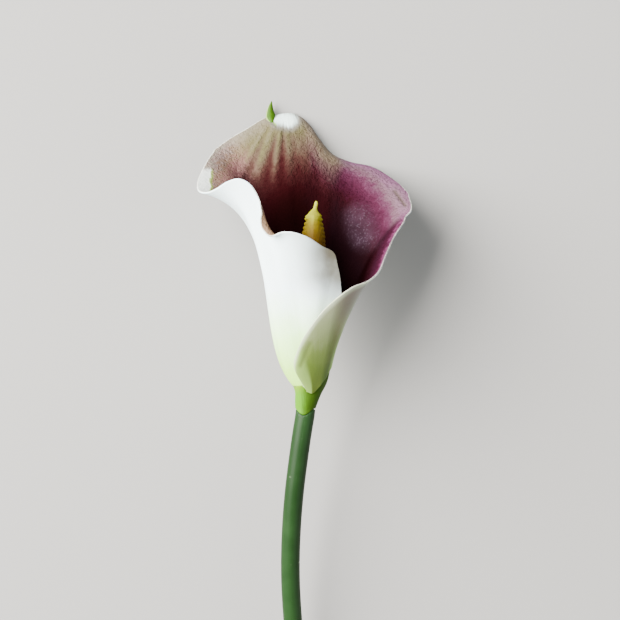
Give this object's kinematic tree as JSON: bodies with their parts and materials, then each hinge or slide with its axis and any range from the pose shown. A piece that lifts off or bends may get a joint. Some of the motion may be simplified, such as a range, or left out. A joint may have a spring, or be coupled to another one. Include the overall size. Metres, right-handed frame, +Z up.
{
  "type": "calla lily flower",
  "caption": "Cut calla lily lying on its back: a rolled white spathe, dark purple inside, with a green foot and horn, round a yellow spadix on a bent green stem.",
  "frame": {"origin": "on the surface the flower lies on, under the middle of its plan", "axes": "+Z up off the surface and out of the front of the flower, +Y from the cut end of the stem to the tip of the spathe, +X to the flower's right as seen from above"},
  "size_m": [0.08, 0.308, 0.0569],
  "materials": {
    "stem": "waxy green plant skin",
    "spathe": "satin petal, white outside, dark purple inside, green at the foot and horn",
    "spadix": "matt, close-set yellow florets"
  },
  "bodies": {
    "root": {"stem": "stem", "spathe": "spathe", "spadix": "spadix"}
  },
  "joints": []
}
